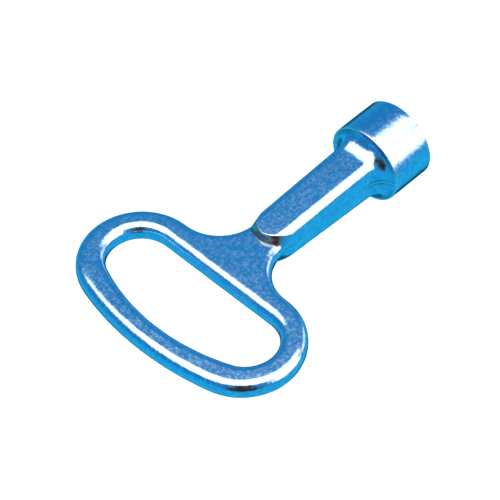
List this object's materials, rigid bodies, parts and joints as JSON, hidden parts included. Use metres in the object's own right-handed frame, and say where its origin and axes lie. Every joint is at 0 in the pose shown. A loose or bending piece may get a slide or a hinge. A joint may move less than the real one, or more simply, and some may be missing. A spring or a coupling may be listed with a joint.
{
  "type": "radiator bleed key",
  "caption": "Die-cast radiator bleed key with a flat finger loop, a tapered shank and a round head with a square socket.",
  "frame": {"origin": "centre of the head's mouth face, on the turning axis", "axes": "+X along the turning axis out of the mouth, Y along the length of the finger loop, +Z normal to the loop's plane"},
  "size_m": [0.0678, 0.0482, 0.016],
  "materials": {
    "plated_casting": "gloss",
    "insert_steel": "satin"
  },
  "bodies": {
    "root": {"key_casting": "plated_casting", "socket_insert": "insert_steel"}
  },
  "joints": []
}
